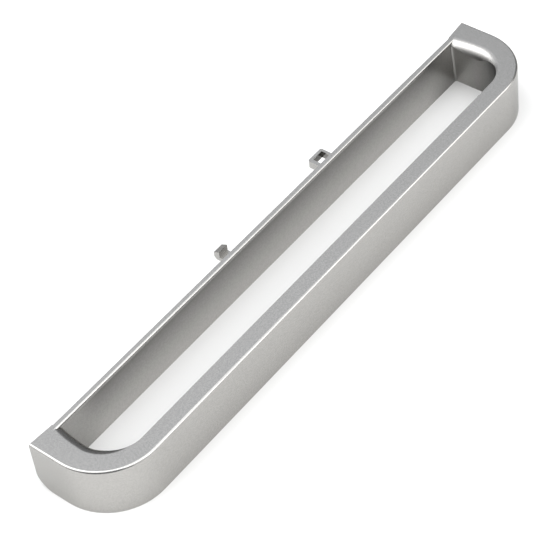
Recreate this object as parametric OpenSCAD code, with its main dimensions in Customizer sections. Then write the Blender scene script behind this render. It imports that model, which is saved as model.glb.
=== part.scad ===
// Microwave door handle, one moulded piece, lying on its underside.
// X runs along the handle, +Y points to the door, Z is up.

/* [Overall] */
// Length over both ends, at the underside
length = 281; // [260:1:320]
// Height of the section, underside to top
height = 24.2; // [20:0.1:30]
// Door plane to the front of the grip, at the underside
depth = 39.5; // [37:0.1:46]
// Plan radius of the two front corners
corner_r = 25.5; // [22:0.1:28]
// Draft of the outer faces, in degrees
outer_draft = 0.6; // [0.2:0.1:1]
// Rounding of the outer top edge
edge_r = 1.2; // [0.6:0.1:1.6]

/* [Opening] */
// Thickness of the grip at the underside
grip = 8; // [7:0.1:10]
// Thickness of each end at the underside
end_thick = 11.5; // [11:0.1:14]
// Thickness of the back wall
wall = 2.3; // [2.2:0.1:3]
// Lean of the opening's end faces into the opening, in degrees
end_lean = 6.8; // [5:0.1:7]
// Plan radius of the opening's front corners
inner_r = 12; // [10:0.1:14]
// Plan radius of the opening's back corners
nook_r = 1; // [0.6:0.1:1.6]
// Rounding of the back wall's inner top edge
wall_edge_r = 0.8; // [0.5:0.1:1]

/* [Rollover] */
// Radius of the rolled top edge at each end of the opening
roll_r = 5.2; // [5.2:0.1:5.8]
// Distance from the handle's end to the start of the rolled edge
roll_inset = 9.1; // [8.8:0.1:9.4]
// Plan radius of the rolled edge at the front corner
roll_front_r = 16; // [14:0.1:18]
// Plan radius of the rolled edge towards the back wall
roll_back_r = 60; // [50:1:90]

/* [Door side] */
// Length of the land on each end
land = 12.3; // [11.6:0.1:13]
// Step from the back wall up to each land
land_step = 0.35; // [0.2:0.05:0.5]
// Height of each land above the door plane at the handle's end
land_rise = 1.3; // [0.8:0.1:1.6]
// Rounding of each end's lower back edge
heel_r = 8; // [6:0.1:8]
// Length along each end over which the lower back edge is rounded
heel = 9.4; // [8:0.1:9.8]

/* [Clips] */
// Reach of both clips behind the door plane
clip_reach = 12.2; // [10:0.1:14]
// Middle of the loop clip along the handle
loop_at = 46.1; // [30:0.1:90]
// Width of the loop clip
loop_width = 9; // [8:0.1:12]
// Height of the loop clip's top
loop_top = 14.6; // [12:0.1:17]
// Thickness of the loop clip
loop_thick = 3.7; // [2.5:0.1:4.5]
// Width of the loop clip's leg nearer the middle
loop_leg = 1.7; // [1.2:0.1:2.2]
// Width of the loop clip's other leg
loop_far_leg = 1.2; // [1:0.1:2]
// Width of the loop clip's cross bar
loop_bar = 1.4; // [1.2:0.1:2]
// Plan radius of the loop clip's outer corners
loop_r = 0.9; // [0.5:0.1:1]
// Middle of the hook clip along the handle
hook_at = -18.4; // [-90:0.1:0]
// Width of the hook clip
hook_width = 5.2; // [4:0.1:8]
// Height of the hook stem's top
hook_top = 13; // [11:0.1:15]
// Thickness of the hook stem
hook_stem = 2; // [1.6:0.1:2.4]
// Length of the hook's head
hook_head = 3; // [2.4:0.1:3.6]
// Height of the catch face above the stem
hook_catch = 3.1; // [2.4:0.1:3.4]
// Drop of the lead-in ramp over the head
hook_lead = 1.5; // [1:0.1:2]
// Chamfer under the hook's tip
hook_chamfer = 1.2; // [0.8:0.1:1.4]

/* [Screw bores] */
// Diameter of the blind pilot bore in each end
bore_d = 3.4; // [2.8:0.1:4]
// Depth of each bore below the land
bore_depth = 14.5; // [10:0.5:16]
// Distance of each bore from the handle's end
bore_inset = 5.7; // [5:0.1:6]

/* [Hidden] */
$fn = 96;
// Overrun of every cut past the face it leaves, and past the leaning or limited cuts
over = 1;
far_over = 3 * over;
// Shift of the heel's rounding past the land, which it crosses
heel_cross = 0.1;
// Rise of every rounding's centre that makes it cross the next face instead of touching it
cross = 0.02;
// Distance the front end of the rolled edge stays behind the grip's inner edge
edge_fade = 0.3;
// Sweep of the rolled edge round the front corner, and on towards the back wall
roll_front_turn = 105;
roll_back_turn = 20;
// Angle by which the rolled edge's quarter round runs on past upright
roll_past = 1;
// Distance across the rounding from its middle to where it crosses the top
roll_run = sqrt(roll_r * roll_r - (roll_r - cross) * (roll_r - cross));
slope_out = tan(outer_draft);
half = length / 2;
// Axes of the outer corners
corner_x = half - corner_r;
corner_y = corner_r - depth;
// Opening at the underside: half length, front and back
open_x = half - end_thick;
open_front = grip - depth;
open_back = -wall;
// Reach of each leaning half of the opening, just past the middle, and the height it gains there
lean_run = open_x + over;
lean_rise = lean_run * sin(end_lean);
// Axes of the rolled edge: front corner, then the run towards the back wall
roll_x = half - roll_inset - roll_front_r;
roll_y = open_front + edge_fade + roll_front_r;
roll_back_x = half - roll_inset - roll_back_r;
land_x = half - land;
land_angle = atan2(land_rise - land_step, land);
bore_x = half - bore_inset;
bore_y = land_step + (bore_x - land_x) * tan(land_angle);
colour = [0.66, 0.66, 0.65];
// Middle of the handle's depth, moved onto the origin
shift_y = (depth - clip_reach) / 2;

// Sector of a disc between two directions less than a half turn apart
module sector(r, from, to) {
    intersection() {
        circle(r);
        polygon([[0, 0],
            3 * r * [cos(from), sin(from)],
            3 * r * [cos((from + to) / 2), sin((from + to) / 2)],
            3 * r * [cos(to), sin(to)]]);
    }
}

// Sweeps for a section drawn with its distance across and its height up
module run_x(size) rotate([90, 0, 90]) linear_extrude(height = size, center = true) children();
module run_y(from, to) translate([0, to, 0]) rotate([90, 0, 0]) linear_extrude(height = to - from) children();
module turn(from, angle) rotate([0, 0, from]) rotate_extrude(angle = angle) children();
module both_ends() for (side = [0, 1]) mirror([side, 0, 0]) children();

// Outer section: drafted side and rounded top edge
module outer_section(reach) {
    cz = height - edge_r;
    cx = reach - slope_out * cz - edge_r / cos(outer_draft);
    intersection() {
        polygon([[0, 0], [reach, 0], [reach - slope_out * height, height], [0, height]]);
        union() {
            square([cx, height]);
            square([reach + over, cz]);
            translate([cx + cross, cz + cross]) circle(edge_r);
        }
    }
}

// Section that ends every cut of the opening at the back wall and rounds its top edge
module back_limit() {
    difference() {
        translate([-depth, -far_over])
            square([depth + open_back + wall_edge_r, height + 2 * far_over]);
        translate([open_back, -far_over - over])
            square([2 * wall_edge_r, height + far_over + over - wall_edge_r]);
        translate([open_back + wall_edge_r, height - wall_edge_r]) sector(wall_edge_r, 90, 180);
    }
}

// Section of the rolled edge, measured from the axis it turns about
module roll_section(reach) {
    difference() {
        translate([0, height - roll_r + cross]) square([reach + roll_run, roll_r + over]);
        translate([reach + roll_run, height - roll_r + cross]) sector(roll_r, 90, 180 + roll_past);
    }
}

// Solid outline before the cuts
module outline() {
    translate([0, (corner_y + land_rise + over) / 2, height / 2])
        cube([2 * corner_x, land_rise + over - corner_y, height], center = true);
    translate([0, corner_y, 0]) run_x(2 * corner_x) mirror([1, 0]) outer_section(corner_r);
    both_ends() {
        translate([corner_x, corner_y, 0]) turn(-90, 90) outer_section(corner_r);
        translate([corner_x, 0, 0]) run_y(corner_y, land_rise + over) outer_section(corner_r);
    }
}

// Plan of one end of the opening, measured from the end face
module end_plan() {
    translate([-lean_run, open_front]) square([lean_run - inner_r, over - open_front]);
    translate([-inner_r, open_front + inner_r])
        square([inner_r - nook_r, over - open_front - inner_r]);
    translate([-nook_r, open_front + inner_r])
        square([nook_r, open_back + cross - nook_r - open_front - inner_r]);
    translate([-inner_r, open_front + inner_r]) sector(inner_r, -90, 0);
    translate([-nook_r, open_back + cross - nook_r]) sector(nook_r, 0, 90);
}

// Finger opening with its leaning end faces and the rolled top edge at both ends
module opening() {
    intersection() {
        both_ends() {
            translate([open_x, 0, 0]) rotate([0, -end_lean, 0]) translate([0, 0, -far_over])
                linear_extrude(height = height + 2 * far_over + lean_rise) end_plan();
            translate([roll_x, roll_y, 0]) mirror([0, 1, 0])
                rotate_extrude(angle = roll_front_turn) roll_section(roll_front_r);
            translate([roll_back_x, roll_y, 0])
                rotate_extrude(angle = roll_back_turn) roll_section(roll_back_r);
        }
        run_x(length) back_limit();
    }
}

// Everything behind the door plane, with the slanted land at each end
module door_side() {
    far = half + over;
    rise = land_step + (far - land_x) * tan(land_angle);
    back = land_rise + far_over;
    translate([0, 0, -over]) linear_extrude(height = height + 2 * over)
        polygon([[-far, back], [-far, rise], [-land_x, land_step], [-land_x, 0],
            [land_x, 0], [land_x, land_step], [far, rise], [far, back]]);
}

// Rounding of an end's lower back edge, laid along the slanted land
module heel_cut() {
    both_ends() translate([half, land_rise, 0]) rotate([0, 0, land_angle])
        translate([-heel, 0, 0]) rotate([90, 0, 90]) linear_extrude(height = heel + over)
            difference() {
                translate([-heel_r, -over]) square([heel_r + over, heel_r]);
                translate([heel_cross - heel_r, heel_r - cross]) circle(heel_r);
            }
}

// Loop clip: a flat frame with an eye that reaches the back wall
module loop_clip() {
    left = loop_at - loop_width / 2;
    right = left + loop_width;
    translate([0, 0, loop_top - loop_thick]) linear_extrude(height = loop_thick) {
        translate([left, -wall / 2]) square([loop_leg, wall / 2 + clip_reach - loop_bar]);
        translate([right - loop_far_leg, -wall / 2])
            square([loop_far_leg, wall / 2 + clip_reach - loop_bar]);
        difference() {
            translate([left, clip_reach - loop_bar]) square([loop_width, loop_bar]);
            for (end = [0, 1])
                translate([end == 0 ? left + loop_r : right - loop_r, clip_reach - loop_r])
                    mirror([1 - end, 0]) difference() {
                        square(2 * loop_r);
                        sector(loop_r, 0, 90);
                    }
        }
    }
}

// Hook clip: a stem with a catch face, a lead-in ramp and a chamfered tip
module hook_clip() {
    base = hook_top - hook_stem;
    crest = hook_top + hook_catch;
    translate([hook_at, 0, 0]) run_x(hook_width)
        polygon([[-wall / 2, base], [clip_reach - hook_chamfer, base],
            [clip_reach, base + hook_chamfer], [clip_reach, crest - hook_lead],
            [clip_reach - hook_head, crest], [clip_reach - hook_head, hook_top],
            [-wall / 2, hook_top]]);
}

// Blind pilot bore in each end, open to the door
module bores() {
    both_ends() translate([bore_x, bore_y - bore_depth, height / 2]) rotate([-90, 0, 0])
        cylinder(r = bore_d / 2, h = bore_depth + over);
}

module handle() {
    color(colour) translate([0, shift_y, 0]) {
        difference() {
            outline();
            opening();
            door_side();
            heel_cut();
            bores();
        }
        loop_clip();
        hook_clip();
    }
}

handle();
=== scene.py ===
"""A microwave door handle, lying on a pale floor: one moulded piece in satin silver paint."""
import math

import bpy
from mathutils import Euler, Matrix, Vector


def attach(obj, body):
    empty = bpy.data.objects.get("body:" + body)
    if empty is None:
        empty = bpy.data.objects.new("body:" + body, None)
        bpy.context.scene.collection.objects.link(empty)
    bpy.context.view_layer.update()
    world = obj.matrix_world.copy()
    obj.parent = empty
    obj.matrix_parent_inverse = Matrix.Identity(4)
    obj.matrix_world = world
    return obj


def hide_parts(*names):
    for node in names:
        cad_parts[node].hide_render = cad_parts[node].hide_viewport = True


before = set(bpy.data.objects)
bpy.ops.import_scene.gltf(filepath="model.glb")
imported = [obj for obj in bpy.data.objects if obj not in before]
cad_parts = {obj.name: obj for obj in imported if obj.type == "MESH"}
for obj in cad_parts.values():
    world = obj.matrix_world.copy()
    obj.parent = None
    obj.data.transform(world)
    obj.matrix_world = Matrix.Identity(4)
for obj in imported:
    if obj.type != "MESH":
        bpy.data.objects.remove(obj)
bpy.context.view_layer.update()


# The handle: one moulding of hard plastic, sprayed with satin silver paint. Grip, both ends, the thin back
# wall and the two snap clips come out of one mould. The visible piece is the solid itself, welded, with
# its sharp edges broken; inside the openings its paint colour carries painted shade, and painted light low
# down.
SHARP = math.radians(14)
WELD = 0.000004
EDGE_BREAK, EDGE_STEPS = 0.00022, 2
NORMAL_WEIGHT = 50

SILVER, SILVER_DARK = (0.450, 0.442, 0.426), (0.396, 0.389, 0.375)
METALLIC, GRAZING = 0.95, 0.72
ROUGHNESS, ROUGH_SPREAD, ROUGH_INSIDE = 0.22, 0.06, 0.09
GLOSS_COAT, GLOSS_ROUGHNESS = 0.08, 0.22
CLOUDS_PER_METRE, CLOUD_SHARE = 38.0, 0.25
SPECK_SIZE, SPECK_DEPTH, SPECK_FROM, SPECK_TO = 0.00065, 0.000006, 0.38, 0.62

# Painted light and shade in the finger opening, taken as a box with round outer corners. Its depth below
# the top face, its ends, its corner by the grip and its wall each have their own share: painted shade
# darkens it towards the top and into the corners by the grip, and painted light lifts it low down.
TOP, UNDERSIDE = 0.0242, 0.0001
LIP_FROM, LIP_TO = 0.0006, 0.0021
CORNER_X, CORNER_Y, CORNER_REACH = 0.115, -0.00035, 0.0178
WALL_Y, WALL_FROM, WALL_TO = 0.0125, 0.0098, 0.0112
GRIP_FROM, GRIP_TO = -0.0174, -0.0164
END_FROM, END_TO = 0.104, 0.124
NOOK_Y, BY_GRIP_Y = 0.0113, -0.0105
PAINTED_LIGHT_LOW, PAINTED_SHADE_TOP = 1.25, 0.40
PAINTED_LIGHT_NOOK, PAINTED_SHADE_CORNER = 1.15, 0.19
PAINTED_SHADE_WALL_END, PAINTED_SHADE_WALL_RISE = 0.62, 12.0

# The eye of the loop clip, from the middle of the eye. Below its top the eye's colour is darkened as
# painted shade.
EYE_X, EYE_Y, EYE_TOP = 0.04635, 0.01905, 0.0142
EYE_HALF_WIDTH, EYE_HALF_LENGTH, EYE_PAINTED_SHADE = 0.0031, 0.0056, 0.5


class Wire:
    """A shader socket that does maths: an expression on wires adds the Math nodes for it."""

    def __init__(self, tree, socket):
        self.tree, self.socket = tree, socket

    def node(self, kind, settings=None, **inputs):
        """A node of that kind with its settings made first, then its inputs set or linked."""
        made = self.tree.nodes.new(kind)
        for name, value in (settings or {}).items():
            setattr(made, name, value)
        for name, value in inputs.items():
            key = int(name[1:]) if name[0] == "i" and name[1:].isdigit() else name.replace("_", " ")
            if isinstance(value, Wire):
                self.tree.links.new(value.socket, made.inputs[key])
            else:
                made.inputs[key].default_value = value
        return made

    def wire(self, made, output=0):
        return Wire(self.tree, made.outputs[output])

    def math(self, operation, other=0.0, swapped=False):
        first, second = (other, self) if swapped else (self, other)
        return self.wire(self.node("ShaderNodeMath", {"operation": operation}, i0=first, i1=second))

    def fade(self, first, last, low=0.0, high=1.0, smooth=True):
        """Goes from low to high while this value goes from first to last."""
        settings = {"interpolation_type": "SMOOTHSTEP"} if smooth else {}
        return self.wire(self.node("ShaderNodeMapRange", settings, Value=self,
                                   i1=first, i2=last, i3=low, i4=high))

    def under(self, limit):
        return self.math("LESS_THAN", limit)

    def over(self, limit):
        return self.math("GREATER_THAN", limit)

    def __add__(self, other):
        return self.math("ADD", other)

    def __mul__(self, other):
        return self.math("MULTIPLY", other)

    def __sub__(self, other):
        return self.math("SUBTRACT", other)

    def __rsub__(self, other):
        return self.math("SUBTRACT", other, swapped=True)

    def __abs__(self):
        return self.math("ABSOLUTE")

    __radd__ = __add__
    __rmul__ = __mul__


def new_material(name):
    """An empty material, its start wire for adding nodes, and its Principled shader."""
    material = bpy.data.materials.new(name)
    material.use_nodes = True
    tree = material.node_tree
    shader = tree.nodes["Principled BSDF"]
    return material, Wire(tree, shader.outputs[0]), shader


def feed(wire, shader, **inputs):
    """Links wires to sockets of the shader, or sets plain values on them."""
    for name, value in inputs.items():
        key = name.replace("_", " ")
        if isinstance(value, Wire):
            wire.tree.links.new(value.socket, shader.inputs[key])
        else:
            shader.inputs[key].default_value = value


paint, start, shader = new_material("silver_paint")
place = start.wire(start.node("ShaderNodeTexCoord"), "Object")
cloud = start.wire(start.node("ShaderNodeTexNoise", Vector=place, Scale=CLOUDS_PER_METRE, Detail=2.0))
speck = start.wire(start.node("ShaderNodeTexNoise", Vector=place, Scale=1 / SPECK_SIZE, Detail=1.0))
flake = speck.fade(SPECK_FROM, SPECK_TO, smooth=False)
tone = cloud * CLOUD_SHARE + flake * (1 - CLOUD_SHARE)
colour = start.wire(start.node("ShaderNodeMix", {"data_type": "RGBA"}, i0=tone,
                               i6=(*SILVER_DARK, 1), i7=(*SILVER, 1)), 2)

axes = start.node("ShaderNodeSeparateXYZ", Vector=place)
along, across, rise = (start.wire(axes, output) for output in range(3))
away = abs(along)
outward = (away - CORNER_X).math("MAXIMUM", 0.0)
forward = (across - CORNER_Y).math("MINIMUM", 0.0)
inside = (outward * outward + forward * forward).under(CORNER_REACH ** 2) * across.under(WALL_Y)
inside = inside * rise.over(UNDERSIDE) * across.fade(GRIP_FROM, GRIP_TO)
inside = inside * rise.fade(TOP - LIP_FROM, TOP - LIP_TO)
near_end = away.fade(END_FROM, END_TO)
at_wall = across.fade(WALL_FROM, WALL_TO)
# Painted light and shade in the opening: lighter than the paint low down and by the wall at the ends,
# darker towards the top and darkest in the ends' corners by the grip. On the back wall near the ends it is
# darker low down.
end_light_shade = across.fade(NOOK_Y, BY_GRIP_Y, PAINTED_LIGHT_NOOK, PAINTED_SHADE_CORNER, smooth=False)
opening_light_shade = (PAINTED_LIGHT_LOW - rise * ((PAINTED_LIGHT_LOW - PAINTED_SHADE_TOP) / TOP)) * (1.0 - near_end) + near_end * end_light_shade
opening_light_shade = opening_light_shade * (1.0 - at_wall * near_end * (1 - PAINTED_SHADE_WALL_END - rise * PAINTED_SHADE_WALL_RISE))
eye = abs(along - EYE_X).under(EYE_HALF_WIDTH) * abs(across - EYE_Y).under(EYE_HALF_LENGTH)
# The paint colour is scaled by the opening's painted light and shade and by the painted shade inside the
# eye of the loop clip.
painted_light_and_shade = 1.0 - inside * (1.0 - opening_light_shade) - eye * rise.under(EYE_TOP) * (1 - EYE_PAINTED_SHADE)
colour = start.wire(start.node("ShaderNodeVectorMath", {"operation": "SCALE"}, Vector=colour, Scale=painted_light_and_shade))
grain = start.wire(start.node("ShaderNodeBump", Strength=0.25, Distance=SPECK_DEPTH, Height=speck))
feed(start, shader, Base_Color=colour, Roughness=ROUGHNESS + cloud * ROUGH_SPREAD + inside * ROUGH_INSIDE,
     Metallic=METALLIC, Specular_Tint=(GRAZING, GRAZING, GRAZING, 1), Normal=grain,
     Coat_Weight=GLOSS_COAT, Coat_Roughness=GLOSS_ROUGHNESS)


def weld_tree():
    """Welds loose triangles and shades them smooth up to an edge angle."""
    tree = bpy.data.node_groups.new("weld_and_smooth", "GeometryNodeTree")
    sockets = (("Geometry", "INPUT", "Geometry"), ("Weld distance", "INPUT", "Float"),
               ("Edge angle", "INPUT", "Float"), ("Finish", "INPUT", "Material"),
               ("Geometry", "OUTPUT", "Geometry"))
    for name, side, kind in sockets:
        tree.interface.new_socket(name, in_out=side, socket_type="NodeSocket" + kind)
    nodes, links = tree.nodes, tree.links
    source, target = nodes.new("NodeGroupInput"), nodes.new("NodeGroupOutput")
    weld = nodes.new("GeometryNodeMergeByDistance")
    angle = nodes.new("GeometryNodeInputMeshEdgeAngle")
    flat = nodes.new("FunctionNodeCompare")
    flat.operation = "LESS_EQUAL"
    faces, edges = nodes.new("GeometryNodeSetShadeSmooth"), nodes.new("GeometryNodeSetShadeSmooth")
    faces.domain, edges.domain = "FACE", "EDGE"
    realize, finish = nodes.new("GeometryNodeRealizeInstances"), nodes.new("GeometryNodeSetMaterial")
    links.new(source.outputs["Geometry"], weld.inputs["Geometry"])
    links.new(source.outputs["Weld distance"], weld.inputs["Distance"])
    links.new(weld.outputs[0], faces.inputs[0])
    links.new(faces.outputs[0], edges.inputs[0])
    links.new(angle.outputs["Unsigned Angle"], flat.inputs[0])
    links.new(source.outputs["Edge angle"], flat.inputs[1])
    links.new(flat.outputs[0], edges.inputs["Shade Smooth"])
    links.new(edges.outputs[0], realize.inputs[0])
    links.new(realize.outputs[0], finish.inputs[0])
    links.new(source.outputs["Finish"], finish.inputs["Material"])
    links.new(finish.outputs[0], target.inputs[0])
    return tree


def set_inputs(modifier, **values):
    """Sets a modifier's inputs by the identifiers of their sockets."""
    for item in modifier.node_group.interface.items_tree:
        key = item.name.replace(" ", "_")
        if item.in_out == "INPUT" and key in values:
            modifier[item.identifier] = values[key]


handle = bpy.data.objects.new("silver_handle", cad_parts["handle"].data.copy())
bpy.context.scene.collection.objects.link(handle)
welded = handle.modifiers.new("weld", "NODES")
welded.node_group = weld_tree()
set_inputs(welded, Weld_distance=WELD, Edge_angle=SHARP, Finish=paint)
broken = handle.modifiers.new("edge_break", "BEVEL")
broken.width, broken.segments = EDGE_BREAK, EDGE_STEPS
broken.limit_method, broken.angle_limit = "ANGLE", SHARP
broken.use_clamp_overlap = True
weighted = handle.modifiers.new("even_normals", "WEIGHTED_NORMAL")
weighted.mode, weighted.weight, weighted.keep_sharp = "FACE_AREA_WITH_ANGLE", NORMAL_WEIGHT, True
bpy.context.view_layer.update()
solved = handle.evaluated_get(bpy.context.evaluated_depsgraph_get())
mesh = bpy.data.meshes.new_from_object(solved)
handle.modifiers.clear()
handle.data = mesh
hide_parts("handle")
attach(handle, "root")


# The floor: a plain pale sheet that carries the handle and runs out of view on every side.
# It is matt and almost white, so only the soft contact shadow shows on it.
FLOOR_HALF = 3.0
FLOOR_TONE = (0.785, 0.781, 0.769)
FLOOR_ROUGHNESS, DUST_PER_METRE, DUST_SPREAD, FLOOR_SHEEN = 0.7, 60.0, 0.1, 0.2

floor_mesh = bpy.data.meshes.new("floor")
floor_mesh.from_pydata([(x, y, 0) for x, y in ((-1, -1), (1, -1), (1, 1), (-1, 1))], [], [(0, 1, 2, 3)])
floor_mesh.transform(Matrix.Scale(FLOOR_HALF, 4))
floor = bpy.data.objects.new("floor", floor_mesh)
bpy.context.scene.collection.objects.link(floor)
pale, start, shader = new_material("pale_floor")
place = start.wire(start.node("ShaderNodeTexCoord"), "Object")
dust = start.wire(start.node("ShaderNodeTexNoise", Vector=place, Scale=DUST_PER_METRE))
feed(start, shader, Base_Color=(*FLOOR_TONE, 1), Roughness=FLOOR_ROUGHNESS + dust * DUST_SPREAD,
     Specular_IOR_Level=FLOOR_SHEEN)
floor_mesh.materials.append(pale)


# The light: a large soft box overhead and one in front, which also reach the floor in the opening.
# The studio is pale above and dark near the floor. Bright patches on its walls whiten the rolled
# edge of the right end (the first), the outer edges (the next two) and lift the far side (the last).
SKY, HORIZON = (0.97, 0.995, 1.04), (0.16, 0.163, 0.17)
SKY_FROM, SKY_TO, SKY_LEAN = 0.62, 0.72, 0.16
# Each patch: the way to it, how many degrees round it are at full strength, where it ends, its gain.
PATCHES = (((-0.43, 0.47, 0.77), 15, 40, 2.2), ((0.50, -0.70, 0.50), 14, 26, 3.1),
           ((-0.02, -0.90, 0.44), 9, 20, 1.6), ((-0.45, 0.88, 0.15), 35, 60, 0.55))


def soft_box(name, place, size, power):
    """A rectangular lamp that faces the handle."""
    lamp = bpy.data.lights.new(name, "AREA")
    lamp.shape, lamp.size, lamp.size_y, lamp.energy = "RECTANGLE", size[0], size[1], power
    box = bpy.data.objects.new(name, lamp)
    box.location = place
    box.rotation_euler = (-Vector(place)).to_track_quat("-Z", "Y").to_euler()
    bpy.context.scene.collection.objects.link(box)


soft_box("box_overhead", (0.0, -0.06, 1.30), (1.3, 0.8), 5.6)
soft_box("box_front", (-0.10, -0.72, 1.0), (0.8, 0.5), 3.7)

world = bpy.data.worlds.new("studio")
bpy.context.scene.world = world
world.use_nodes = True
studio = world.node_tree.nodes["Background"]
start = Wire(world.node_tree, studio.outputs[0])
way = start.wire(start.node("ShaderNodeTexCoord"), "Generated")
axes = start.node("ShaderNodeSeparateXYZ", Vector=way)
high = (start.wire(axes, "Z") + start.wire(axes, "Y") * SKY_LEAN).fade(SKY_FROM, SKY_TO)
extra = 0.0
for axis, full, none, gain in PATCHES:
    toward = start.wire(start.node("ShaderNodeVectorMath", {"operation": "DOT_PRODUCT"}, i0=way,
                                   i1=Vector(axis).normalized()), "Value")
    extra = toward.fade(math.cos(math.radians(none)), math.cos(math.radians(full)), high=gain) + extra
sky = start.wire(start.node("ShaderNodeMix", {"data_type": "RGBA"}, i0=high,
                            i6=(*HORIZON, 1), i7=(*SKY, 1)), 2)
lit = start.wire(start.node("ShaderNodeVectorMath", {"operation": "ADD"}, i0=sky, i1=extra))
feed(start, studio, Color=lit, Strength=1.0)


# The camera: a long lens above the left front, at the photograph's viewing angle. It was fitted to
# the handle's own edges, with the small shift of the lens that the picture's frame asks for.
EYE = (-0.39330, -0.36791, 0.57938)
TURN = (42.7102, 5.4908, -51.7651)
LENS, SHIFT, SENSOR = 126.82, (0.0015, -0.0079), 36

lens = bpy.data.cameras.new("camera")
lens.sensor_width, lens.lens, lens.shift_x, lens.shift_y = SENSOR, LENS, *SHIFT
camera = bpy.data.objects.new("camera", lens)
camera.location, camera.rotation_euler = EYE, Euler([math.radians(a) for a in TURN])
bpy.context.scene.collection.objects.link(camera)
bpy.context.scene.camera = camera
bpy.context.scene.view_settings.view_transform = "Standard"
